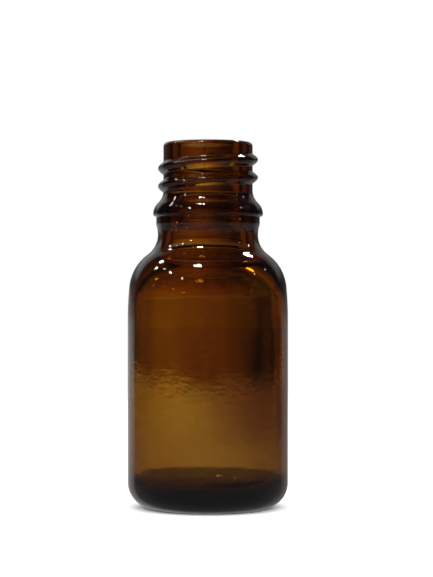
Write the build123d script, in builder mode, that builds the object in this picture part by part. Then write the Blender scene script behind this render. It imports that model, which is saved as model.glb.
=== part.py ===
from build123d import *
import math
import os

# Amber glass ink bottle, blow moulded in one piece: a round body, a drawn-in shoulder, and an
# 18 mm screw neck with a bead for the closure's tamper ring. Millimetres, +Z up, with the origin
# at the centre of the ring it stands on. The thread's angles run anticlockwise from +X.

# ---- overall sizes
overall_height = 65.0
body_diameter = 28.5

# ---- body, heel and base
heel_radius = 4.35
base_ring_width = 1.4          # flat ring the bottle stands on
push_up = 0.9                  # rise of the base inside that ring
body_wall = 1.6                # under the shoulder
heel_wall = 2.05               # over the floor's corner, where the glass runs thicker
base_thickness = 2.6           # glass over the middle of the push-up
floor_corner_radius = 3.2      # where the wall meets the floor inside
floor_crown = 0.6              # rise of the inside floor towards the middle

# ---- shoulder, from the body up to the waist under the neck
crown_radius = 68.0            # long, slow start of the shoulder
crown_angle = 5.0
shoulder_radius = 8.1
waist_fillet = 4.3
waist_depth = 16.5             # down from the lip to the narrowest line
shoulder_wall = 2.1            # thick glass at the waist
inside_shoulder_radius = 7.0
inside_waist_fillet = 8.0

# ---- neck finish
neck_diameter = 15.9           # between the threads
bore_diameter = 11.1
bore_depth = 10.8              # straight part of the bore, down from the lip
lip_outer_radius = 0.75
lip_inner_radius = 0.55
lip_land = 0.3                 # least flat left between the two

# ---- bead and collar under the thread
bead_stand = 1.83              # out from the neck
bead_depth = 12.8              # down from the lip to its widest line
bead_crown_radius = 2.75
bead_root_radius = 3.0
bead_edge_radius = 0.45        # lower edge
collar_stand = 1.27            # out from the neck
collar_length = 1.35           # from the bead's underside to the mould's parting line
collar_step = 0.32             # in from the collar to the waist

# ---- thread
thread_height = 0.96           # out from the neck
thread_pitch = 3.18
thread_base_width = 2.4
thread_crest_radius = 0.55
thread_root_depth = 0.4        # how far the ridge is rooted in the neck
thread_depth = 2.7             # down from the lip to the ridge's middle where it starts
thread_top_angle = 45.0        # where the full ridge starts, behind the right side
thread_sweep = 600.0           # degrees of full ridge
thread_fade = 50.0             # degrees over which each end runs out

# ---- worked out from the sizes above
body_r = body_diameter / 2
neck_r = neck_diameter / 2
bore_r = bore_diameter / 2
bead_r = neck_r + bead_stand
collar_r = neck_r + collar_stand
waist_r = collar_r - collar_step
waist_height = overall_height - waist_depth
bead_height = overall_height - bead_depth
thread_top_height = overall_height - thread_depth
ring_outer_r = body_r - heel_radius
ring_inner_r = ring_outer_r - base_ring_width
lip_share = min(1, (neck_r - bore_r - lip_land) / (lip_outer_radius + lip_inner_radius))
lip_outer, lip_inner = lip_outer_radius * lip_share, lip_inner_radius * lip_share


def reverse_angle(width, first_radius, second_radius):
    """Angle of each of the two arcs of an S that steps sideways by width."""
    return math.degrees(math.acos(1 - width / (first_radius + second_radius)))


def shoulder_angle(step, crown, shoulder, fillet):
    """Steepest lean of a shoulder whose crown, shoulder and fillet arcs step in by step."""
    lean = crown * (1 - math.cos(math.radians(crown_angle))) + shoulder * math.cos(
        math.radians(crown_angle)
    )
    return math.degrees(math.acos((lean + fillet - step) / (shoulder + fillet)))


def shoulder_drop(lean, crown, shoulder, fillet):
    """Height of that shoulder from the body's straight side up to the waist."""
    start, steep = math.radians(crown_angle), math.radians(lean)
    return (
        crown * math.sin(start)
        + shoulder * (math.sin(steep) - math.sin(start))
        + fillet * math.sin(steep)
    )


# ---- outside of the glass, from the middle of the base up to the lip
outside_bends = (crown_radius, shoulder_radius, waist_fillet)
lean_out = shoulder_angle(body_r - waist_r, *outside_bends)
shoulder_start = waist_height - shoulder_drop(lean_out, *outside_bends)
bead_angle = reverse_angle(bead_r - neck_r, bead_root_radius, bead_crown_radius)
bead_bottom = bead_height - bead_edge_radius
collar_bottom = bead_bottom - collar_length

# ---- inside of the glass: a gentler shoulder, set in by the wall
inner_body_r = body_r - body_wall
inner_waist_r = waist_r - shoulder_wall
inner_crown = crown_radius - body_wall
inside_bends = (inner_crown, inside_shoulder_radius, inside_waist_fillet)
lean_in = shoulder_angle(inner_body_r - inner_waist_r, *inside_bends)
inner_start = waist_height - shoulder_drop(lean_in, *inside_bends)
flare_top = overall_height - bore_depth
flare_step = inner_waist_r - bore_r
flare_angle = 2 * math.degrees(math.atan(flare_step / (flare_top - waist_height)))
flare_radius = flare_step / 2 / (1 - math.cos(math.radians(flare_angle)))
floor_middle = push_up + base_thickness
corner_top = floor_middle - floor_crown + floor_corner_radius
inner_taper = math.degrees(math.atan((heel_wall - body_wall) / (inner_start - corner_top)))

# ---- thread: one rounded ridge round the neck, which sinks into it at both ends
thread_bottom_angle = thread_top_angle - thread_sweep
thread_bottom_height = thread_top_height - thread_pitch * thread_sweep / 360
fade_sink = thread_height + 0.1


def on_neck(angle, sink=0.0):
    """Point on the ridge's base line at angle, sunk into the neck by sink."""
    turn = math.radians(angle)
    height = thread_top_height + thread_pitch * (angle - thread_top_angle) / 360
    return Vector((neck_r - sink) * math.cos(turn), (neck_r - sink) * math.sin(turn), height)


def radial_way(angle):
    """Direction straight out of the neck at angle."""
    return Vector(math.cos(math.radians(angle)), math.sin(math.radians(angle)), 0)


def along_neck(angle):
    """Direction of the ridge's base line at angle, going up."""
    turn = math.radians(angle)
    return Vector(-neck_r * math.sin(turn), neck_r * math.cos(turn), thread_pitch / math.tau)


def fade_line(angle, way):
    """Base line of an end of the ridge, from angle on towards way, sinking ever faster."""
    steps = 6
    points = [
        on_neck(angle + way * thread_fade * step / steps, fade_sink * (step / steps) ** 2)
        for step in range(steps + 1)
    ]
    with BuildLine() as line:
        Spline(points)
    return line.line


def ridge_section(angle):
    """Cross-section of the ridge at angle, rooted a little way into the neck."""
    half, crest = thread_base_width / 2, thread_crest_radius
    lean = math.degrees(math.atan2(thread_height - crest, half))
    lean += math.degrees(math.asin(crest / math.hypot(half, thread_height - crest)))
    place = Plane(on_neck(angle), x_dir=radial_way(angle), z_dir=along_neck(angle))
    with BuildSketch(place) as section:
        with BuildLine():
            Polyline((0, half), (-thread_root_depth, half), (-thread_root_depth, -half), (0, -half))
            top = CenterArc((thread_height - crest, 0), crest, -lean, 2 * lean)
            Line((0, -half), top @ 0)
            Line(top @ 1, (0, half))
        make_face()
    return section.sketch


thread_rise = thread_top_height - thread_bottom_height
full_ridge = Helix(thread_pitch, thread_rise, neck_r, center=(0, 0, thread_bottom_height))
full_ridge = full_ridge.rotate(Axis.Z, thread_bottom_angle)
bottom_section, bottom_fade = ridge_section(thread_bottom_angle), fade_line(thread_bottom_angle, -1)
top_section, top_fade = ridge_section(thread_top_angle), fade_line(thread_top_angle, 1)

with BuildPart() as glass_bottle:
    with BuildSketch(Plane.XZ):
        with BuildLine():
            # standing ring, heel and straight side
            base_dome = ThreePointArc((0, push_up), (ring_inner_r / 2, push_up * 0.75), (ring_inner_r, 0))
            ring = Line(base_dome @ 1, (ring_outer_r, 0))
            heel = JernArc(ring @ 1, (1, 0), heel_radius, 90)
            side = Line(heel @ 1, (body_r, shoulder_start))
            # shoulder, drawn in to the waist
            crown = JernArc(side @ 1, (0, 1), crown_radius, crown_angle)
            shoulder = JernArc(crown @ 1, crown % 1, shoulder_radius, lean_out - crown_angle)
            waist = JernArc(shoulder @ 1, shoulder % 1, waist_fillet, -lean_out)
            # collar and the bead over it
            flare = ThreePointArc(
                waist @ 1,
                (waist_r + (collar_r - waist_r) * 0.25, (waist_height + collar_bottom) / 2),
                (collar_r, collar_bottom),
            )
            collar = Line(flare @ 1, (collar_r, bead_bottom))
            bead_under = Line(collar @ 1, (bead_r - bead_edge_radius, bead_bottom))
            bead_edge = JernArc(bead_under @ 1, (1, 0), bead_edge_radius, 90)
            bead_crown = JernArc(bead_edge @ 1, (0, 1), bead_crown_radius, bead_angle)
            bead_root = JernArc(bead_crown @ 1, bead_crown % 1, bead_root_radius, -bead_angle)
            # neck and lip
            neck = Line(bead_root @ 1, (neck_r, overall_height - lip_outer))
            lip_outside = JernArc(neck @ 1, (0, 1), lip_outer, 90)
            land = Line(lip_outside @ 1, (bore_r + lip_inner, overall_height))
            lip_inside = JernArc(land @ 1, (-1, 0), lip_inner, 90)
            # straight bore, then an S that widens it to the inside of the waist
            bore = Line(lip_inside @ 1, (bore_r, flare_top))
            flare_start = JernArc(bore @ 1, (0, -1), flare_radius, flare_angle)
            flare_end = JernArc(flare_start @ 1, flare_start % 1, flare_radius, -flare_angle)
            inside_waist = JernArc(flare_end @ 1, (0, -1), inside_waist_fillet, lean_in)
            inside_shoulder = JernArc(
                inside_waist @ 1, inside_waist % 1, inside_shoulder_radius, crown_angle - lean_in
            )
            inside_crown = JernArc(inside_shoulder @ 1, inside_shoulder % 1, inner_crown, -crown_angle)
            # inside wall, corner and floor
            inside_side = Line(inside_crown @ 1, (body_r - heel_wall, corner_top))
            floor_corner = JernArc(inside_side @ 1, inside_side % 1, floor_corner_radius, inner_taper - 90)
            floor = Spline(floor_corner @ 1, (0, floor_middle), tangents=[(-1, 0), (-1, 0)])
            Line(floor @ 1, (0, push_up))
        make_face()
    revolve(axis=Axis.Z)
    # the full ridge, then its two ends
    sweep(bottom_section, path=full_ridge, is_frenet=True)
    sweep(bottom_section, path=bottom_fade)
    sweep(top_section, path=top_fade)

glass_bottle.part.label = "glass_bottle"

os.makedirs("parts", exist_ok=True)
export_step(glass_bottle.part, "parts/glass_bottle.step")
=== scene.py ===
import math

import bmesh
import bpy
from bpy.props import FloatProperty, FloatVectorProperty, IntProperty, PointerProperty
from bpy.types import Operator, Panel, PropertyGroup
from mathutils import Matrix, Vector


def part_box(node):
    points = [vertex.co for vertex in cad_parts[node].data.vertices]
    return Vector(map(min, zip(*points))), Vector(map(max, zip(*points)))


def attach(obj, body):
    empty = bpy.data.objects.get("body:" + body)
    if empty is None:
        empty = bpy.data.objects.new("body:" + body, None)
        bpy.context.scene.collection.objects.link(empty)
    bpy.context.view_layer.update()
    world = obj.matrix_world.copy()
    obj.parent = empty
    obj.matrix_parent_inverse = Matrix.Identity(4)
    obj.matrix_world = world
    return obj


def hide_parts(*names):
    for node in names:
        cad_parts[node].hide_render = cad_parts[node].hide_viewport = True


bl_info = {
    "name": "Amber Ink Bottle",
    "version": (1, 0, 0),
    "blender": (4, 5, 0),
    "location": "3D View > Sidebar > Ink Bottle",
    "description": "A small amber glass ink bottle with a screw neck, on a pale studio floor",
    "category": "Object",
}

MM = 0.001
GLASS_NODE = "glass_bottle"
BODY = "root"

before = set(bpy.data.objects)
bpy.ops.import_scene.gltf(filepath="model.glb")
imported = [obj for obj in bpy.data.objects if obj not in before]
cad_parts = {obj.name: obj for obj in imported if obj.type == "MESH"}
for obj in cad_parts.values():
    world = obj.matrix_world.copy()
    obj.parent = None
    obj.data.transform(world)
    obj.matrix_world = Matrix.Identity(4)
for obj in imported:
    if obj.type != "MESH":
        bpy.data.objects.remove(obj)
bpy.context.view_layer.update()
glass_low, glass_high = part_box(GLASS_NODE)

# Fineness of the glass mesh: columns round it, extra columns each side of a parting line, and the
# spacing of its rings at the details and on the plain walls.
COLUMNS = 168
SEAM_COLUMNS = 3
FINE = 0.13 * MM
PLAIN = 0.44 * MM
# Details on that mesh: how far a parting line takes to change over at the collar and to end under
# the lip, how the inner wall's waves stretch along the bottle and over what height they end, how
# close to the floor the standing ring's points are, and how far its grooves take to run out.
SEAM_CHANGE = 0.2 * MM
SEAM_END = 0.9 * MM
WAVE_STRETCH = (1.0, 1.0, 0.45)
WAVE_END = 3 * MM
RING_FLAT = 0.05 * MM
GROOVE_END = 0.3 * MM

# Round ceiling lamps: the way round in degrees from behind the camera, positive to the right, the
# way up and the radius in millimetres. They stand at one distance from a point inside the bottle.
LAMP_DISTANCE = 1.5
LAMP_AIM = 0.04
LAMP_BRIGHTNESS = 45.0
LAMPS = (
    (-29, 65, 125),
    (143, 48, 95),
    (-121, 46, 60),
    (-108, 38, 42),
    (-90, 43, 25),
    (-69, 39.5, 48),
    (-42, 30.5, 48),
    (114, 32, 30),
    (83, 32, 22),
)
# The dim room that shows through the glass, over an eighth of the way round it. It repeats eight
# times, so that every side of the bottle has a bright left and a dark right.
ROOM_AROUND = (
    (0.00, (0.45, 0.27, 0.10)),
    (0.15, (0.50, 0.29, 0.09)),
    (0.32, (0.62, 0.37, 0.09)),
    (0.40, (0.64, 0.39, 0.09)),
    (0.46, (0.50, 0.26, 0.08)),
    (0.51, (0.37, 0.17, 0.07)),
    (0.56, (0.26, 0.12, 0.06)),
    (0.62, (0.17, 0.09, 0.055)),
    (0.67, (0.09, 0.055, 0.04)),
    (0.73, (0.055, 0.04, 0.035)),
    (0.84, (0.07, 0.045, 0.035)),
    (1.00, (0.45, 0.27, 0.10)),
)
# How that room changes upwards. Places on these two runs count from the first to the second of
# these heights, where a height is the upward share of a direction.
ROOM_HEIGHTS = (-0.1, 0.9)
ROOM_UPWARD = (
    (0.00, (2.0, 2.3, 2.0)),
    (0.01, (2.0, 2.3, 2.0)),
    (0.035, (0.86, 0.77, 0.9)),
    (0.08, (0.86, 0.77, 0.9)),
    (0.09, (1.0, 1.0, 1.0)),
    (0.13, (1.0, 0.95, 1.0)),
    (0.15, (1.4, 1.55, 1.4)),
    (0.17, (1.3, 1.35, 1.2)),
    (0.20, (1.1, 0.98, 0.85)),
    (0.36, (1.45, 1.25, 0.8)),
    (0.50, (1.1, 1.0, 1.0)),
    (0.62, (1.6, 2.3, 2.5)),
    (0.80, (2.2, 3.4, 3.5)),
)
# How bright the room is far behind the bottle, as it shines on the glass, over the same rise.
BEHIND_UPWARD = (
    (0.00, (0.5, 0.5, 0.5)),
    (0.07, (0.5, 0.5, 0.5)),
    (0.10, (0.28, 0.28, 0.28)),
    (0.14, (0.12, 0.12, 0.12)),
    (0.22, (0.12, 0.12, 0.12)),
    (0.40, (0.6, 0.6, 0.6)),
    (0.70, (0.3, 0.3, 0.3)),
)
# The darkest corner of the room that shows through the glass: its places round the room and its
# heights, each from where it starts to where it's full, and how much light it takes.
CORNER_AROUND = (0.57, 0.66)
CORNER_HEIGHTS = (-0.03, -0.065)
CORNER_DARK = 0.5
# The room that shines on the glass: dark, dim below, and lit far behind the bottle.
SHINE_DARK = (0.03, 0.03, 0.032, 1.0)
SHINE_LOW = (0.21, 0.21, 0.22, 1.0)
SHINE_LOW_HEIGHTS = (-0.04, -0.14)
SHINE_LEFT = (1.0, 0.97, 0.92, 1.0)
SHINE_RIGHT = (0.6, 0.56, 0.52, 1.0)
SHINE_SIDES = (-0.3, 0.3)
SHINE_BEHIND = (0.6, 0.74)
# Where the floor's two colours through the glass change over, from left to right, and where the right
# one
#  changes with the distance from the bottle. Both are painted shade: lighter on the left, darker on the
#  right.
FLOOR_SIDES = (-20 * MM, 25 * MM)
FLOOR_AWAY = (30 * MM, 170 * MM)
# The white room that the camera sees, and the brighter one that lights the floor.
WHITE = (1.0, 1.0, 1.0, 1.0)
FLOOR_LIGHT = (2.0, 2.0, 2.0, 1.0)


# ------------------------------------------------------------------ sizes and colours


def length(name, description, millimetres):
    """A size that a user can change, in metres."""
    return FloatProperty(
        name=name, description=description, default=millimetres * MM, unit="LENGTH", precision=5
    )


def angle(name, description, degrees):
    """An angle that a user can change, kept in radians."""
    return FloatProperty(
        name=name, description=description, default=math.radians(degrees), subtype="ANGLE"
    )


def floor_colour(name, description, colour):
    """A colour of the floor that a user can change."""
    return FloatVectorProperty(
        name=name, description=description, default=colour, size=3, subtype="COLOR", min=0.0, max=1.0
    )


class BottleSizes(PropertyGroup):
    """Body, heel, base and shoulder."""

    height: length("Height", "From the ring it stands on to the lip", (glass_high.z - glass_low.z) / MM)
    diameter: length("Body diameter", "Across the straight side", (glass_high.x - glass_low.x) / MM)
    heel_radius: length("Heel", "Radius from the side round to the standing ring", 4.35)
    ring_width: length("Standing ring", "Width of the flat ring under the heel", 1.4)
    push_up: length("Push-up", "Rise of the base inside the standing ring", 0.9)
    body_wall: length("Body wall", "Glass under the shoulder", 1.6)
    heel_wall: length("Heel wall", "Glass over the corner of the floor", 2.05)
    base_glass: length("Base glass", "Glass over the middle of the push-up", 2.6)
    corner_radius: length("Floor corner", "Radius where the wall meets the floor inside", 3.2)
    floor_crown: length("Floor crown", "Rise of the inside floor towards its middle", 0.6)
    crown_radius: length("Crown", "Radius of the shoulder's long slow start", 68.0)
    crown_angle: angle("Crown angle", "Turn of the shoulder's long slow start", 5.0)
    shoulder_radius: length("Shoulder", "Radius of the shoulder's outward bend", 8.1)
    waist_fillet: length("Waist fillet", "Radius from the shoulder up to the waist", 4.3)
    waist_depth: length("Waist depth", "From the lip down to the narrowest line", 16.5)
    shoulder_wall: length("Shoulder wall", "Glass in the waist", 2.1)
    inside_shoulder: length("Shoulder, inside", "Radius of the shoulder's bend inside", 7.0)
    inside_fillet: length("Waist fillet, inside", "Radius from the shoulder up to the waist inside", 8.0)


class NeckSizes(PropertyGroup):
    """Neck finish: lip, bore, bead, collar and thread."""

    diameter: length("Neck diameter", "Across the neck between the threads", 15.9)
    bore: length("Bore", "Diameter of the mouth", 11.1)
    bore_depth: length("Bore depth", "Straight part of the bore, down from the lip", 10.8)
    lip_outer: length("Lip, outside", "Rounding of the lip outside", 0.75)
    lip_inner: length("Lip, inside", "Rounding of the lip inside", 0.55)
    bead_stand: length("Bead", "How far the bead stands out from the neck", 1.83)
    bead_depth: length("Bead depth", "From the lip down to the bead's widest line", 12.8)
    bead_crown: length("Bead crown", "Radius over the bead", 2.75)
    bead_root: length("Bead root", "Radius from the neck out to the bead", 3.0)
    bead_edge: length("Bead edge", "Radius of the bead's lower edge", 0.45)
    bead_nook: length("Bead nook", "Radius between the collar and the bead's underside", 0.07)
    collar_stand: length("Collar", "How far the collar stands out from the neck", 1.27)
    collar_length: length("Collar length", "From the bead down to the mould's parting line", 1.35)
    collar_step: length("Collar step", "From the collar in to the waist", 0.32)
    ridge_height: length("Thread height", "How far the thread stands out from the neck", 0.96)
    ridge_half: length("Thread half width", "From the ridge's crest to its foot", 1.1)
    ridge_shape: FloatProperty(
        name="Thread shape", description="Higher values narrow the ridge towards its crest", default=1.25
    )
    pitch: length("Thread pitch", "Rise of the thread in one turn", 3.18)
    thread_depth: length("Thread depth", "From the lip down to the ridge's crest where it starts", 2.7)
    thread_angle: angle("Thread start", "Where the full ridge starts, from +X", 45.0)
    thread_sweep: angle("Thread sweep", "Turn of the full ridge", 600.0)
    thread_fade: angle("Thread fade", "Turn over which each end runs out", 50.0)


class MouldMarks(PropertyGroup):
    """What the moulds and the blowing leave on the glass."""

    seam_height: length("Seam height", "How far a parting line stands out", 0.05)
    seam_half: length("Seam half width", "Half the width of a parting line", 0.16)
    body_seam: angle("Body seam", "Where the body mould parts", 4.0)
    neck_seam: angle("Neck seam", "Where the neck ring parts", -93.0)
    wave_height: length("Wall waves", "How far the inside wall wanders in and out", 0.16)
    wave_length: length("Wave length", "Size of the inside wall's waves", 9.5)
    stipple_depth: length("Stipple depth", "Depth of the grooves across the standing ring", 0.08)
    stipple_count: IntProperty(
        name="Stipples", description="Grooves round the standing ring", default=40
    )
    seed: FloatProperty(name="Seed", description="Picks another set of waves", default=3.0)


class GlassFinish(PropertyGroup):
    """The amber glass."""

    ior: FloatProperty(name="IOR", description="Index of refraction of the glass", default=1.52)
    roughness: FloatProperty(name="Roughness", description="Roughness of the surface", default=0.0)
    tint: FloatVectorProperty(
        name="Tint", description="Colour that light keeps on its way through the glass",
        default=(0.671, 0.506, 0.0), size=3, subtype="COLOR", min=0.0, max=1.0,
    )
    depth: FloatProperty(
        name="Depth", description="How fast the tint deepens, per metre of glass", default=1316.0
    )
    ripple_height: length("Ripple height", "Height of the fine ripples", 0.011)
    ripple_top: length("Ripple top", "Where the ripples start to die away towards the neck", 41.0)
    ripple_length: length("Ripple length", "From one fine ripple to the next", 0.85)
    ripple_fade: length("Ripple fade", "Height over which the ripples die away", 6.0)
    ripple_reach: FloatProperty(
        name="Ripple reach", description="Length of a ripple round the glass to its height",
        default=1.8,
    )


class StudioSettings(PropertyGroup):
    """Floor and camera."""

    floor_radius: length("Floor radius", "How far the pale floor reaches", 400.0)
    floor_solid: length("Solid floor", "Where the floor starts to fade out", 160.0)
    floor_faded: length("Faded floor", "Where the floor has faded out", 380.0)
    # Painted shadow: the floor that shows through the glass is painted darker close to the bottle.
    shadow_solid: length("Shadow", "Radius of the dark floor that shows through the glass", 38.0)
    shadow_faded: length("Shadow edge", "Where that dark floor has faded out", 58.0)
    shadow_depth: FloatProperty(name="Shadow depth", description="How dark that floor is", default=0.7)
    floor_pale: floor_colour("Floor", "Colour of the floor", (0.9, 0.9, 0.9))
    # Painted shade: through the glass the floor is painted darker than the camera sees it, lighter to
    # the left of the bottle than to its right.
    floor_left_shade: floor_colour("Floor, left", "Left of the bottle, through the glass", (0.66, 0.66, 0.65))
    floor_right_shade: floor_colour("Floor, right", "Right of it, close, through the glass", (0.53, 0.53, 0.5))
    floor_far_right_shade: floor_colour("Floor, far right", "Right of it, far off", (0.26, 0.17, 0.4))
    camera_distance: length("Camera distance", "From the bottle's axis to the camera", 336.0)
    camera_height: length("Camera height", "Height of the camera over the floor", 40.0)
    aim_across: length("Aim across", "Where the camera aims, to the right of the axis", 1.51)
    aim_height: length("Aim height", "Where the camera aims, over the floor", 38.95)
    lens: FloatProperty(name="Lens", description="Focal length", default=117.55, unit="CAMERA")


# ------------------------------------------------------------------ outline of the glass


class Pen:
    """Draws an outline as points (radius, height), turning as it goes. Positive turns are left."""

    def __init__(self, start, heading, spacing):
        self.points = [start]
        self.heading = heading
        self.spacing = spacing

    def line(self, end, spacing=None):
        """Straight run to end."""
        (r, z), (end_r, end_z) = self.points[-1], end
        self.heading = math.atan2(end_z - z, end_r - r)
        steps = max(1, round(math.hypot(end_r - r, end_z - z) / (spacing or self.spacing)))
        self.points += [
            (r + (end_r - r) * i / steps, z + (end_z - z) * i / steps) for i in range(1, steps + 1)
        ]

    def arc(self, radius, turn, heading=None, spacing=None):
        """Arc that goes on from the heading and turns by turn."""
        start = self.heading if heading is None else heading
        side = math.copysign(1.0, turn)
        r, z = self.points[-1]
        centre_r = r - side * radius * math.sin(start)
        centre_z = z + side * radius * math.cos(start)
        steps = max(4, round(radius * abs(turn) / (spacing or self.spacing)))
        for i in range(1, steps + 1):
            now = start + turn * i / steps
            self.points.append(
                (centre_r + side * radius * math.sin(now), centre_z - side * radius * math.cos(now))
            )
        self.heading = start + turn


def arc_through(low, middle, high):
    """Radius and turn of the arc from low to high that passes by middle."""
    chord = math.dist(low, high)
    area = (high[0] - low[0]) * (middle[1] - low[1]) - (high[1] - low[1]) * (middle[0] - low[0])
    rise = abs(area) / chord
    radius = (chord * chord / 4 + rise * rise) / (2 * rise)
    return radius, 2 * math.asin(chord / 2 / radius)


def shoulder_lean(step, crown, crown_angle, shoulder, fillet):
    """Steepest lean of a shoulder whose three arcs step in by step."""
    kept = crown * (1 - math.cos(crown_angle)) + shoulder * math.cos(crown_angle) + fillet - step
    return math.acos(kept / (shoulder + fillet))


def shoulder_drop(lean, crown, crown_angle, shoulder, fillet):
    """Height of that shoulder, from the straight side to the waist."""
    return (crown - shoulder) * math.sin(crown_angle) + (shoulder + fillet) * math.sin(lean)


def glass_outline(body, neck):
    """Outline of the glass from the middle of the base, up the outside, over the lip and down the
    inside to the middle of the floor. Returns the points and how many of them are outside."""
    up, right, down, left = math.pi / 2, 0.0, -math.pi / 2, math.pi
    body_r, neck_r, bore_r = body.diameter / 2, neck.diameter / 2, neck.bore / 2
    collar_r = neck_r + neck.collar_stand
    bead_r = neck_r + neck.bead_stand
    waist_r = collar_r - neck.collar_step
    waist_z = body.height - body.waist_depth
    ring_outer = body_r - body.heel_radius
    ring_inner = ring_outer - body.ring_width

    # outside: base dome, standing ring, heel and side
    dome_radius, dome_turn = arc_through(
        (0, body.push_up), (ring_inner / 2, body.push_up * 0.75), (ring_inner, 0)
    )
    dome_lean = math.atan2(-body.push_up, ring_inner)
    pen = Pen((0.0, body.push_up), right, PLAIN)
    pen.arc(dome_radius, -dome_turn, heading=dome_lean + dome_turn / 2)
    pen.points[-1] = (ring_inner, 0.0)
    pen.line((ring_outer, 0.0), FINE * 2)
    pen.arc(body.heel_radius, up, heading=right, spacing=FINE * 3)

    # outside: shoulder and waist
    shape = (body.crown_radius, body.crown_angle, body.shoulder_radius, body.waist_fillet)
    lean = shoulder_lean(body_r - waist_r, *shape)
    pen.line((body_r, waist_z - shoulder_drop(lean, *shape)), PLAIN * 1.4)
    pen.arc(body.crown_radius, body.crown_angle, heading=up)
    pen.arc(body.shoulder_radius, lean - body.crown_angle, spacing=PLAIN * 0.7)
    pen.arc(body.waist_fillet, -lean, spacing=PLAIN * 0.5)

    # outside: collar, bead, neck and lip
    bead_z = body.height - neck.bead_depth
    bead_under = bead_z - neck.bead_edge
    collar_z = bead_under - neck.collar_length
    middle = (waist_r + neck.collar_step * 0.25, (waist_z + collar_z) / 2)
    flare_radius, flare_turn = arc_through((waist_r, waist_z), middle, (collar_r, collar_z))
    flare_lean = math.atan2(collar_z - waist_z, collar_r - waist_r)
    pen.arc(flare_radius, -flare_turn, heading=flare_lean + flare_turn / 2, spacing=FINE * 1.5)
    pen.line((collar_r, bead_under - neck.bead_nook), FINE * 1.5)
    pen.arc(neck.bead_nook, down, heading=up, spacing=FINE / 3)
    pen.line((bead_r - neck.bead_edge, bead_under), FINE)
    pen.arc(neck.bead_edge, up, heading=right, spacing=FINE / 2)
    bead_turn = math.acos(1 - neck.bead_stand / (neck.bead_crown + neck.bead_root))
    pen.arc(neck.bead_crown, bead_turn, spacing=FINE)
    pen.arc(neck.bead_root, -bead_turn, spacing=FINE)
    pen.line((neck_r, body.height - neck.lip_outer), FINE)
    pen.arc(neck.lip_outer, up, heading=up, spacing=FINE)
    pen.line((bore_r + neck.lip_inner, body.height), FINE * 1.5)
    outside = len(pen.points)

    # inside: lip, bore and the S that widens it to the waist
    inner_body, inner_waist = body_r - body.body_wall, waist_r - body.shoulder_wall
    flare_top = body.height - neck.bore_depth
    turn = 2 * math.atan((inner_waist - bore_r) / (flare_top - waist_z))
    radius = (inner_waist - bore_r) / 2 / (1 - math.cos(turn))
    pen.arc(neck.lip_inner, up, heading=left, spacing=FINE)
    pen.line((bore_r, flare_top), PLAIN)
    pen.arc(radius, turn, spacing=PLAIN / 2)
    pen.arc(radius, -turn, spacing=PLAIN / 2)

    # inside: shoulder, wall, corner and floor
    shape = (
        body.crown_radius - body.body_wall,
        body.crown_angle,
        body.inside_shoulder,
        body.inside_fillet,
    )
    crown, crown_angle, shoulder, fillet = shape
    lean = shoulder_lean(inner_body - inner_waist, *shape)
    pen.arc(fillet, lean, heading=down, spacing=PLAIN * 0.6)
    pen.arc(shoulder, crown_angle - lean, spacing=PLAIN * 0.6)
    pen.arc(crown, -crown_angle)
    floor_z = body.push_up + body.base_glass
    corner_z = floor_z - body.floor_crown + body.corner_radius
    pen.line((body_r - body.heel_wall, corner_z), PLAIN)
    pen.arc(body.corner_radius, left - pen.heading - math.tau, spacing=PLAIN * 0.6)
    edge_r, edge_z = pen.points[-1]
    steps = round(edge_r / PLAIN)
    for i in range(1, steps + 1):
        r = edge_r * (1 - i / steps)
        pen.points.append((r, edge_z + (floor_z - edge_z) * (1 + math.cos(math.pi * r / edge_r)) / 2))
    return pen.points, outside


def lathe(name, outline, outside, columns):
    """Closed mesh of the outline turned round the Z axis, one column of faces per angle. Points
    carry an attribute that is 1 on the outside of the glass and 0 on the inside."""
    mesh = bpy.data.meshes.new(name)
    grid = bmesh.new()
    side = grid.verts.layers.float.new("outside")
    rings = []
    for i, (r, z) in enumerate(outline):
        around = columns if r > 1e-9 else [0.0]
        ring = [grid.verts.new((r * math.cos(a), r * math.sin(a), z)) for a in around]
        for vert in ring:
            vert[side] = 1.0 if i < outside else 0.0
        rings.append(ring)
    for low, high in zip(rings, rings[1:]):
        for j in range(len(columns)):
            k = (j + 1) % len(columns)
            corners = [low[j % len(low)], low[k % len(low)], high[k % len(high)], high[j % len(high)]]
            # at a pole two corners are the same point, and the face is a triangle
            grid.faces.new(list(dict.fromkeys(corners)))
    grid.to_mesh(mesh)
    grid.free()
    mesh.polygons.foreach_set("use_smooth", [True] * len(mesh.polygons))
    return mesh


def column_angles(count, seams, extra):
    """Evenly spaced angles round the bottle, with extra ones on both sides of each seam in place of
    the even ones there."""
    step = math.tau / count
    reach, clearance = 1.5 * step, 1.6 * step
    even = [step * i for i in range(count)]
    close = [s + reach * i / extra for s in seams for i in range(-extra, extra + 1)]
    clear = [a for a in even if min(abs(math.remainder(a - s, math.tau)) for s in seams) > clearance]
    return sorted(a % math.tau for a in clear + close)


# ------------------------------------------------------------------ node helpers


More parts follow.
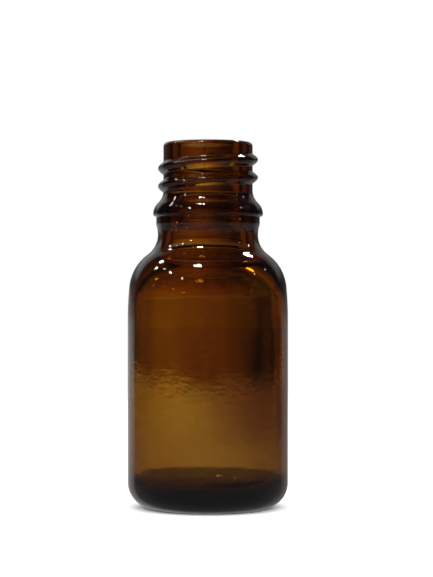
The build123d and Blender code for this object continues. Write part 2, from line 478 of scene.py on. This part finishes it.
class Tree:
    """Adds nodes to a tree and links them, one call each."""

    def __init__(self, tree):
        self.tree = tree

    def add(self, kind, settings=(), **sockets):
        """New node with its settings, and sockets by name that take a value or another socket."""
        node = self.tree.nodes.new(kind)
        for key, value in dict(settings).items():
            setattr(node, key, value)
        for key, value in sockets.items():
            self.put(node.inputs[key.replace("_", " ")], value)
        return node

    def put(self, socket, value):
        """Links value to socket if it's a socket, or sets it."""
        if isinstance(value, bpy.types.NodeSocket):
            self.tree.links.new(value, socket)
        else:
            socket.default_value = value

    def maths(self, operation, *values, clamp=False):
        """Result of a Math node."""
        node = self.add("ShaderNodeMath", {"operation": operation, "use_clamp": clamp})
        for socket, value in zip(node.inputs, values):
            self.put(socket, value)
        return node.outputs[0]

    def vector(self, operation, *values, out="Vector"):
        """Result of a Vector Math node."""
        node = self.add("ShaderNodeVectorMath", {"operation": operation})
        for socket, value in zip(node.inputs, values):
            self.put(socket, value)
        return node.outputs[out]

    def scaled(self, vector, scale):
        """A vector times a number."""
        node = self.add("ShaderNodeVectorMath", {"operation": "SCALE"})
        self.put(node.inputs[0], vector)
        self.put(node.inputs["Scale"], scale)
        return node.outputs[0]

    def smooth(self, value, low, high):
        """0 at low, 1 at high and a smooth step between, whichever of the two is the greater."""
        return self.add(
            "ShaderNodeMapRange", {"interpolation_type": "SMOOTHSTEP"},
            Value=value, From_Min=low, From_Max=high,
        ).outputs[0]


def mixed(t, share, first, second):
    """Colour that goes from first to second as share goes from 0 to 1."""
    node = t.add("ShaderNodeMix", {"data_type": "RGBA"})
    for socket, value in zip((node.inputs[0], node.inputs[6], node.inputs[7]), (share, first, second)):
        t.put(socket, value)
    return node.outputs[2]


def new_geometry_tree(name, inputs):
    """Geometry Nodes tree with named number inputs. Returns it, its helper and its input node."""
    tree = bpy.data.node_groups.new(name, "GeometryNodeTree")
    tree.interface.new_socket("Geometry", in_out="INPUT", socket_type="NodeSocketGeometry")
    for label, value in inputs.items():
        socket = tree.interface.new_socket(label, in_out="INPUT", socket_type="NodeSocketFloat")
        socket.default_value = value
    tree.interface.new_socket("Material", in_out="INPUT", socket_type="NodeSocketMaterial")
    tree.interface.new_socket("Geometry", in_out="OUTPUT", socket_type="NodeSocketGeometry")
    return tree, Tree(tree), tree.nodes.new("NodeGroupInput").outputs


def thread_ridge(t, given, turn, height):
    """Stand-out of the screw thread at an angle and height on the neck."""
    below = t.maths("SUBTRACT", height, given["Thread Top"])
    ahead = t.maths("SUBTRACT", turn, given["Thread Start"])
    turns = t.maths(
        "SUBTRACT", t.maths("DIVIDE", below, given["Pitch"]), t.maths("DIVIDE", ahead, math.tau)
    )
    along = t.maths("ADD", ahead, t.maths("MULTIPLY", t.maths("ROUND", turns), math.tau))
    crest = t.maths("DIVIDE", t.maths("MULTIPLY", given["Pitch"], along), math.tau)
    off = t.maths("DIVIDE", t.maths("SUBTRACT", below, crest), given["Ridge Half"])
    bump = t.maths("SUBTRACT", 1.0, t.maths("MULTIPLY", off, off), clamp=True)
    upper = t.smooth(along, given["Thread Fade"], 0.0)
    end = t.maths("ADD", given["Thread Sweep"], given["Thread Fade"])
    lower = t.smooth(t.maths("ADD", along, end), 0.0, given["Thread Fade"])
    section = t.maths("POWER", bump, given["Ridge Shape"])
    share = t.maths("MULTIPLY", section, t.maths("MULTIPLY", upper, lower))
    return t.maths("MULTIPLY", share, given["Ridge Height"])


def seam_ridge(t, given, turn, radius, seam):
    """Stand-out of a parting line that runs up both sides of the bottle."""
    across = t.maths("MULTIPLY", t.maths("SINE", t.maths("SUBTRACT", turn, seam)), radius)
    off = t.maths("DIVIDE", t.maths("ABSOLUTE", across), given["Seam Half"])
    near = t.maths("SUBTRACT", 1.0, off, clamp=True)
    return t.maths("MULTIPLY", t.maths("MULTIPLY", near, near), given["Seam Height"])


def detail_tree(inputs):
    """Adds the thread, the parting lines, the wall's waves and the ring's grooves to a lathed
    bottle."""
    tree, t, given = new_geometry_tree("Bottle Detail", inputs)
    place = t.add("GeometryNodeInputPosition").outputs[0]
    x, y, z = t.add("ShaderNodeSeparateXYZ", Vector=place).outputs
    turn = t.maths("ARCTAN2", y, x)
    radius = t.maths("SQRT", t.maths("ADD", t.maths("MULTIPLY", x, x), t.maths("MULTIPLY", y, y)))
    stored = t.add("GeometryNodeInputNamedAttribute", {"data_type": "FLOAT"}, Name="outside")
    outside = stored.outputs[0]
    inside = t.maths("SUBTRACT", 1.0, outside)
    normal = t.add("GeometryNodeInputNormal").outputs[0]
    flat = t.vector("MULTIPLY", place, (1.0, 1.0, 0.0))
    outward = t.vector("NORMALIZE", flat)

    # thread and parting lines stand out sideways
    on_neck = t.smooth(z, given["Collar"], t.maths("ADD", given["Collar"], SEAM_CHANGE))
    over_heel = t.smooth(z, 0.0, given["Heel"])
    under_lip = t.smooth(z, given["Lip"], t.maths("SUBTRACT", given["Lip"], SEAM_END))
    body_seam = t.maths("MULTIPLY", seam_ridge(t, given, turn, radius, given["Body Seam"]), over_heel)
    body_seam = t.maths("MULTIPLY", body_seam, t.maths("SUBTRACT", 1.0, on_neck))
    neck_seam = t.maths("MULTIPLY", seam_ridge(t, given, turn, radius, given["Neck Seam"]), on_neck)
    neck_seam = t.maths("MULTIPLY", neck_seam, under_lip)
    stand = t.maths("ADD", thread_ridge(t, given, turn, z), t.maths("ADD", body_seam, neck_seam))
    raised = t.scaled(outward, t.maths("MULTIPLY", stand, outside))

    # inside wall wanders in and out, more along the bottle than round it
    drawn = t.vector("MULTIPLY", place, WAVE_STRETCH)
    grain = t.vector("DIVIDE", drawn, given["Wave Length"])
    waves = t.add(
        "ShaderNodeTexNoise", {"noise_dimensions": "4D"},
        Vector=grain, W=given["Seed"], Scale=1.0, Detail=1.0, Roughness=0.4,
    ).outputs[0]
    swing = t.maths("MULTIPLY", given["Wave Height"], 2.0)
    swing = t.maths("MULTIPLY", t.maths("SUBTRACT", waves, 0.5), swing)
    held = t.smooth(z, given["Wave Top"], t.maths("ADD", given["Wave Top"], WAVE_END))
    free = t.maths("SUBTRACT", 1.0, held)
    wander = t.scaled(normal, t.maths("MULTIPLY", t.maths("MULTIPLY", swing, inside), free))

    # grooves across the standing ring
    groove = t.maths("SINE", t.maths("MULTIPLY", turn, given["Stipple Count"]))
    groove = t.maths("MULTIPLY", t.maths("ADD", groove, 1.0), 0.5)
    inner, outer = given["Ring Inner"], given["Ring Outer"]
    from_inner = t.smooth(radius, inner, t.maths("ADD", inner, GROOVE_END))
    from_outer = t.smooth(radius, outer, t.maths("SUBTRACT", outer, GROOVE_END))
    band = t.maths("MULTIPLY", from_inner, from_outer)
    low = t.maths("LESS_THAN", z, RING_FLAT)
    cut = t.maths("MULTIPLY", t.maths("MULTIPLY", groove, band), t.maths("MULTIPLY", low, outside))
    lift = t.maths("MULTIPLY", cut, given["Stipple Depth"])
    lifted = t.add("ShaderNodeCombineXYZ", Z=lift).outputs[0]

    offset = t.vector("ADD", t.vector("ADD", raised, wander), lifted)
    moved = t.add("GeometryNodeSetPosition", Geometry=given["Geometry"], Offset=offset)
    whole = t.add("GeometryNodeRealizeInstances", Geometry=moved.outputs[0])
    done = t.add("GeometryNodeSetMaterial", Geometry=whole.outputs[0], Material=given["Material"])
    tree.links.new(done.outputs[0], tree.nodes.new("NodeGroupOutput").inputs[0])
    return tree


def run_tree(piece, tree, inputs, material):
    """Runs a Geometry Nodes tree on a piece and leaves the result as its plain mesh."""
    modifier = piece.modifiers.new(tree.name, "NODES")
    modifier.node_group = tree
    for item in tree.interface.items_tree:
        if item.in_out == "INPUT" and item.name in inputs:
            modifier[item.identifier] = inputs[item.name]
        if item.in_out == "INPUT" and item.name == "Material":
            modifier[item.identifier] = material
    shaped = piece.evaluated_get(bpy.context.evaluated_depsgraph_get())
    mesh = bpy.data.meshes.new_from_object(shaped)
    piece.modifiers.remove(modifier)
    piece.data = mesh
    mesh.attributes.remove(mesh.attributes["outside"])


# ------------------------------------------------------------------ materials


def new_material(name):
    """Empty node material, its helper and its output node."""
    material = bpy.data.materials.new(name)
    material.use_nodes = True
    material.node_tree.nodes.clear()
    t = Tree(material.node_tree)
    return material, t, t.add("ShaderNodeOutputMaterial")


def amber_glass(finish):
    """Clear amber glass, tinted by its depth, with the fine ripples of blown glass."""
    material, t, out = new_material("amber_glass")
    place = t.add("ShaderNodeTexCoord").outputs["Object"]
    drawn = t.vector("DIVIDE", place, (finish.ripple_reach, finish.ripple_reach, 1.0))
    ripples = t.add(
        "ShaderNodeTexNoise", {"noise_dimensions": "3D"},
        Vector=drawn, Scale=1.0 / finish.ripple_length, Detail=1.5, Roughness=0.45, Distortion=0.3,
    ).outputs[0]
    height = t.add("ShaderNodeSeparateXYZ", Vector=place).outputs[2]
    top = finish.ripple_top
    calm = t.maths("SUBTRACT", 1.0, t.smooth(height, top, top + finish.ripple_fade))
    raised = t.maths("MULTIPLY", ripples, calm)
    bump = t.add("ShaderNodeBump", Strength=1.0, Distance=finish.ripple_height, Height=raised)
    shader = t.add(
        "ShaderNodeBsdfPrincipled",
        Base_Color=(1.0, 1.0, 1.0, 1.0), Roughness=finish.roughness, IOR=finish.ior,
        Transmission_Weight=1.0, Normal=bump.outputs[0],
    )
    depth = t.add("ShaderNodeVolumeAbsorption", Color=(*finish.tint, 1.0), Density=finish.depth)
    t.tree.links.new(shader.outputs[0], out.inputs["Surface"])
    t.tree.links.new(depth.outputs[0], out.inputs["Volume"])
    return material


def floor_finish(studio):
    """Pale matt floor with a faint mottle, which fades out far from the bottle. Through the glass it
    shows painted
     shade, darker than the camera sees it: a painted shadow most of all close to the bottle, and to its
         right darker the further away it is."""
    material, t, out = new_material("pale_floor")
    place = t.add("ShaderNodeTexCoord").outputs["Object"]
    mottle = t.add("ShaderNodeTexNoise", Vector=place, Scale=60.0, Detail=3.0).outputs[0]
    shade = t.add("ShaderNodeMapRange", Value=mottle, To_Min=0.985, To_Max=1.0).outputs[0]
    # painted shade through the glass: lighter to the left of the bottle, darker to its right and further
    # away
    away = t.vector("LENGTH", place, out="Value")
    across = t.smooth(t.add("ShaderNodeSeparateXYZ", Vector=place).outputs[0], *FLOOR_SIDES)
    near_right, far_right = (*studio.floor_right_shade, 1.0), (*studio.floor_far_right_shade, 1.0)
    right = mixed(t, t.smooth(away, *FLOOR_AWAY), near_right, far_right)
    through = mixed(t, across, (*studio.floor_left_shade, 1.0), right)
    # painted shadow through the glass, close to the bottle
    close = t.maths("SUBTRACT", 1.0, t.smooth(away, studio.shadow_solid, studio.shadow_faded))
    shadow = t.maths("MULTIPLY", close, studio.shadow_depth)
    through = t.scaled(through, t.maths("SUBTRACT", 1.0, shadow))
    # the painted shade and shadow show only through the glass; the camera sees the plain pale floor
    seen = t.add("ShaderNodeLightPath").outputs["Is Transmission Ray"]
    pale = mixed(t, seen, (*studio.floor_pale, 1.0), through)
    matt = t.add("ShaderNodeBsdfDiffuse", Color=t.scaled(pale, shade))
    faded = t.smooth(away, studio.floor_solid, studio.floor_faded)
    mix = t.add("ShaderNodeMixShader", Fac=faded)
    clear = t.add("ShaderNodeBsdfTransparent")
    t.tree.links.new(matt.outputs[0], mix.inputs[1])
    t.tree.links.new(clear.outputs[0], mix.inputs[2])
    t.tree.links.new(mix.outputs[0], out.inputs["Surface"])
    return material


# ------------------------------------------------------------------ operators


class INKBOTTLE_OT_glass(Operator):
    """Make the glass bottle"""

    bl_idname = "inkbottle.glass"
    bl_label = "Glass bottle"

    def execute(self, context):
        scene = context.scene
        body, neck, marks = scene.bottle_sizes, scene.neck_sizes, scene.mould_marks
        outline, outside = glass_outline(body, neck)
        seams = [s + half for s in (marks.body_seam, marks.neck_seam) for half in (0.0, math.pi)]
        mesh = lathe("bottle", outline, outside, column_angles(COLUMNS, seams, SEAM_COLUMNS))
        bottle = bpy.data.objects.new("bottle", mesh)
        scene.collection.objects.link(bottle)
        ring_outer = body.diameter / 2 - body.heel_radius
        collar = body.height - neck.bead_depth - neck.bead_edge - neck.collar_length
        inputs = {
            "Thread Top": body.height - neck.thread_depth,
            "Thread Start": neck.thread_angle,
            "Thread Sweep": neck.thread_sweep,
            "Thread Fade": neck.thread_fade,
            "Pitch": neck.pitch,
            "Ridge Height": neck.ridge_height,
            "Ridge Half": neck.ridge_half,
            "Ridge Shape": neck.ridge_shape,
            "Collar": collar,
            "Heel": body.heel_radius,
            "Lip": body.height - neck.lip_outer,
            "Wave Top": body.height - neck.bore_depth - WAVE_END,
            "Body Seam": marks.body_seam,
            "Neck Seam": marks.neck_seam,
            "Seam Half": marks.seam_half,
            "Seam Height": marks.seam_height,
            "Wave Height": marks.wave_height,
            "Wave Length": marks.wave_length,
            "Seed": marks.seed,
            "Ring Inner": ring_outer - body.ring_width,
            "Ring Outer": ring_outer,
            "Stipple Count": float(marks.stipple_count),
            "Stipple Depth": marks.stipple_depth,
        }
        run_tree(bottle, detail_tree(inputs), inputs, amber_glass(scene.glass_finish))
        if not bottle.data.polygons:
            raise RuntimeError("the bottle's mesh came out empty")
        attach(bottle, BODY)
        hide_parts(GLASS_NODE)
        return {"FINISHED"}


def lamp(name, azimuth, elevation, radius):
    """Adds a round lamp that faces the bottle and shows on its glass only. Azimuth 0 is behind the
    camera and 90 is to the right."""
    data = bpy.data.lights.new(name, "AREA")
    data.shape = "DISK"
    data.size = 2 * radius
    data.energy = LAMP_BRIGHTNESS * math.pi * math.pi * radius * radius
    a, e = math.radians(azimuth), math.radians(elevation)
    way = Vector((math.sin(a) * math.cos(e), -math.cos(a) * math.cos(e), math.sin(e)))
    item = bpy.data.objects.new(name, data)
    item.visible_diffuse = False
    item.location = Vector((0, 0, LAMP_AIM)) + way * LAMP_DISTANCE
    item.rotation_euler = way.to_track_quat("Z", "Y").to_euler()
    bpy.context.scene.collection.objects.link(item)


def ramp(t, value, stops):
    """Colour ramp with a soft run between its stops, given as (place, colour)."""
    node = t.add("ShaderNodeValToRGB", {}, Fac=value)
    node.color_ramp.interpolation = "EASE"
    elements = node.color_ramp.elements
    elements.remove(elements[1])
    elements[0].position, elements[0].color = stops[0][0], (*stops[0][1], 1.0)
    for place, colour in stops[1:]:
        elements.new(place).color = (*colour, 1.0)
    return node.outputs[0]


def room(world):
    """Fills the world: white where the camera looks and over the floor, a dim brown room through the
    glass, and on its surface a dark one, lit below and far behind the bottle."""
    world.use_nodes = True
    world.node_tree.nodes.clear()
    t = Tree(world.node_tree)
    out = t.add("ShaderNodeOutputWorld")
    way = t.add("ShaderNodeTexCoord").outputs["Generated"]
    x, y, z = t.add("ShaderNodeSeparateXYZ", Vector=way).outputs

    # through the glass
    eighths = t.maths("DIVIDE", t.maths("ARCTAN2", x, y), math.pi / 4)
    turn = t.maths("FRACT", t.maths("ADD", eighths, 0.5))
    around = ramp(t, turn, ROOM_AROUND)
    lowest, highest = ROOM_HEIGHTS
    height = t.add("ShaderNodeMapRange", Value=z, From_Min=lowest, From_Max=highest).outputs[0]
    through = t.vector("MULTIPLY", around, ramp(t, height, ROOM_UPWARD))
    corner = t.maths("MULTIPLY", t.smooth(turn, *CORNER_AROUND), t.smooth(z, *CORNER_HEIGHTS))
    through = t.scaled(through, t.maths("MULTIPLY_ADD", corner, -CORNER_DARK, 1.0))

    # on the glass
    dark = mixed(t, t.smooth(z, *SHINE_LOW_HEIGHTS), SHINE_DARK, SHINE_LOW)
    far = mixed(t, t.smooth(x, *SHINE_SIDES), SHINE_LEFT, SHINE_RIGHT)
    far = t.vector("MULTIPLY", far, ramp(t, height, BEHIND_UPWARD))
    mirrored = mixed(t, t.smooth(y, *SHINE_BEHIND), dark, far)

    # a refracted ray counts as a glossy one too, so it's told apart last
    rays = t.add("ShaderNodeLightPath").outputs
    pale = mixed(t, rays["Is Camera Ray"], FLOOR_LIGHT, WHITE)
    seen = mixed(t, rays["Is Glossy Ray"], pale, mirrored)
    seen = mixed(t, rays["Is Transmission Ray"], seen, through)
    sky = t.add("ShaderNodeBackground", Color=seen, Strength=1.0)
    t.tree.links.new(sky.outputs[0], out.inputs[0])


class INKBOTTLE_OT_stage(Operator):
    """Set up the floor, the light and the camera"""

    bl_idname = "inkbottle.stage"
    bl_label = "Stage"

    def execute(self, context):
        scene = context.scene
        studio = scene.studio_settings
        mesh = bpy.data.meshes.new("floor")
        disc = bmesh.new()
        bmesh.ops.create_circle(disc, cap_ends=True, segments=128, radius=studio.floor_radius)
        disc.to_mesh(mesh)
        disc.free()
        mesh.materials.append(floor_finish(studio))
        floor = bpy.data.objects.new("floor", mesh)
        floor.visible_glossy = False
        scene.collection.objects.link(floor)

        for i, (azimuth, elevation, radius) in enumerate(LAMPS):
            lamp(f"lamp_{i}", azimuth, elevation, radius * MM)

        scene.world = bpy.data.worlds.new("room")
        room(scene.world)

        data = bpy.data.cameras.new("camera")
        data.lens = studio.lens
        camera = bpy.data.objects.new("camera", data)
        camera.location = (0, -studio.camera_distance, studio.camera_height)
        aim = Vector((studio.aim_across, 0, studio.aim_height))
        camera.rotation_euler = (aim - camera.location).to_track_quat("-Z", "Y").to_euler()
        scene.collection.objects.link(camera)
        scene.camera = camera
        scene.view_settings.view_transform = "Standard"
        return {"FINISHED"}


class INKBOTTLE_PT_panel(Panel):
    """Sidebar panel with the operators and the sizes."""

    bl_label = "Ink Bottle"
    bl_idname = "INKBOTTLE_PT_panel"
    bl_space_type = "VIEW_3D"
    bl_region_type = "UI"
    bl_category = "Ink Bottle"

    def draw(self, context):
        layout = self.layout
        for operator in OPERATORS:
            layout.operator(operator.bl_idname)
        for key in GROUPS:
            column = layout.column(align=True)
            group = getattr(context.scene, key)
            column.label(text=key.replace("_", " ").capitalize())
            for name in group.__annotations__:
                column.prop(group, name)


GROUPS = {
    "bottle_sizes": BottleSizes,
    "neck_sizes": NeckSizes,
    "mould_marks": MouldMarks,
    "glass_finish": GlassFinish,
    "studio_settings": StudioSettings,
}
OPERATORS = (INKBOTTLE_OT_glass, INKBOTTLE_OT_stage)
CLASSES = (*GROUPS.values(), *OPERATORS, INKBOTTLE_PT_panel)


def register():
    for cls in CLASSES:
        bpy.utils.register_class(cls)
    for key, group in GROUPS.items():
        setattr(bpy.types.Scene, key, PointerProperty(type=group))


def unregister():
    for key in GROUPS:
        delattr(bpy.types.Scene, key)
    for cls in reversed(CLASSES):
        bpy.utils.unregister_class(cls)


def main():
    register()
    bpy.ops.inkbottle.glass()
    bpy.ops.inkbottle.stage()


if __name__ == "__main__":
    main()
